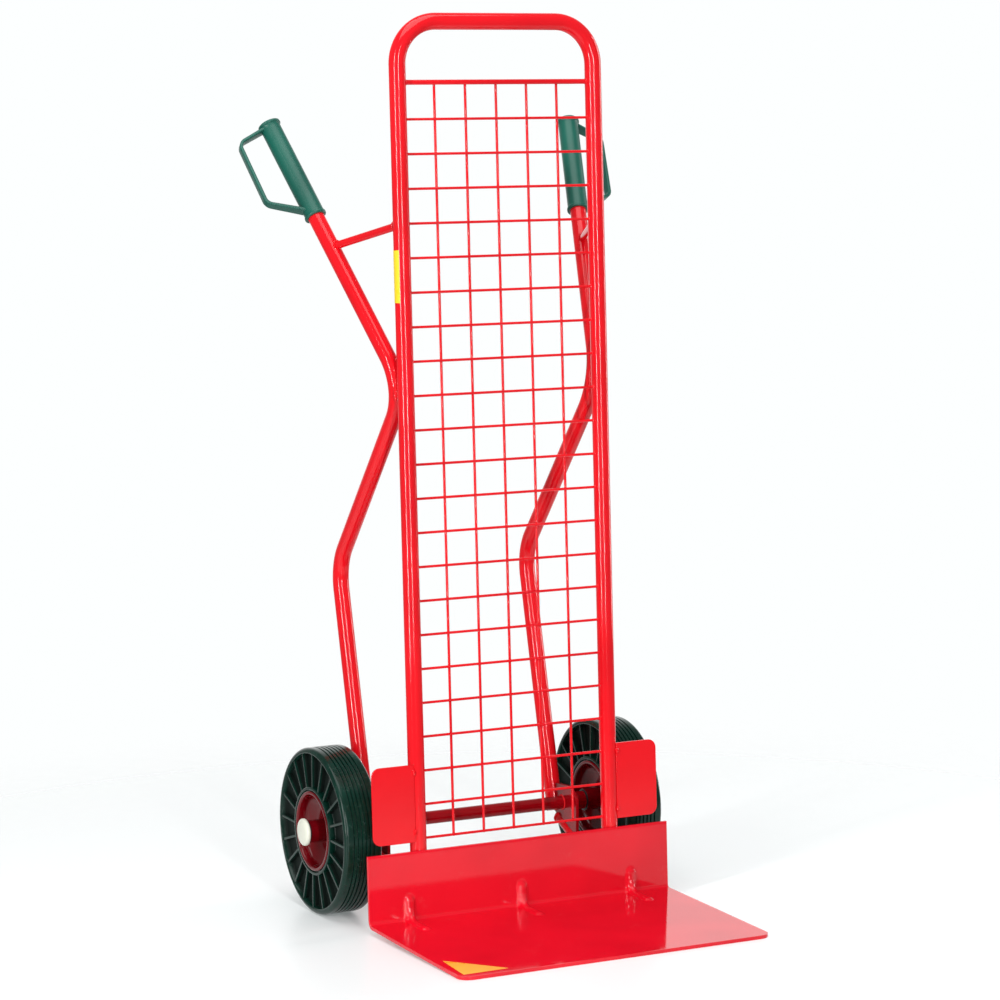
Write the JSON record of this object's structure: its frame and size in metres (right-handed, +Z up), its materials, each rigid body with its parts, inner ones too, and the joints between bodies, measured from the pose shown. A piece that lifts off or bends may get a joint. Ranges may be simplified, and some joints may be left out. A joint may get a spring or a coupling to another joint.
{
  "type": "hand truck",
  "caption": "Upright two-wheeled hand truck with a welded wire back, broad steel toe plate, splayed rear handles with knuckle-guard grips and solid ribbed tyres.",
  "frame": {"origin": "on the floor, at the middle of the bounding box's underside", "axes": "+X across to the truck's left-hand wheel seen from behind, +Y back from the toe plate to the handles, +Z up"},
  "size_m": [0.616, 0.6216, 1.3326],
  "materials": {
    "red_paint": "gloss powder coat",
    "red_hub": "gloss paint",
    "green_grip": "moulded satin",
    "tyre_rubber": "moulded matt",
    "cream_cap": "moulded satin",
    "zinc_steel": "zinc plated",
    "bearing_nylon": "moulded",
    "yellow_label": "printed film",
    "amber_label": "printed film"
  },
  "bodies": {
    "frame": {"axle": "red_paint", "axle_bracket_left": "red_paint", "axle_bracket_right": "red_paint", "axle_cap_left": "cream_cap", "axle_cap_right": "cream_cap", "axle_spacer_left": "red_paint", "axle_spacer_right": "red_paint", "axle_washer_left": "zinc_steel", "axle_washer_right": "zinc_steel", "grip_left": "green_grip", "grip_right": "green_grip", "guard_welds": "red_paint", "handle_strut_left": "red_paint", "handle_strut_right": "red_paint", "handle_tube_left": "red_paint", "handle_tube_right": "red_paint", "handle_welds": "red_paint", "hoop_frame": "red_paint", "mesh_horizontal_wires": "red_paint", "mesh_vertical_wires": "red_paint", "stay_left": "red_paint", "stay_right": "red_paint", "toe_plate": "red_paint", "toe_plate_label": "amber_label", "top_rod": "red_paint", "upright_label": "yellow_label", "wheel_guard_left": "red_paint", "wheel_guard_right": "red_paint"},
    "wheel_left": {"hub_bearings_left": "bearing_nylon", "hub_inner_shell_left": "red_hub", "hub_outer_shell_left": "red_hub", "hub_sleeve_left": "red_hub", "tyre_left": "tyre_rubber"},
    "wheel_right": {"hub_bearings_right": "bearing_nylon", "hub_inner_shell_right": "red_hub", "hub_outer_shell_right": "red_hub", "hub_sleeve_right": "red_hub", "tyre_right": "tyre_rubber"}
  },
  "joints": [
    {"name": "wheel_left_spin", "type": "hinge", "parent": "frame", "child": "wheel_left", "pos_m": [-0.236, 0.16104, 0.125], "axis": [1, 0, 0], "continuous": true},
    {"name": "wheel_right_spin", "type": "hinge", "parent": "frame", "child": "wheel_right", "pos_m": [0.236, 0.16104, 0.125], "axis": [1, 0, 0], "continuous": true}
  ]
}
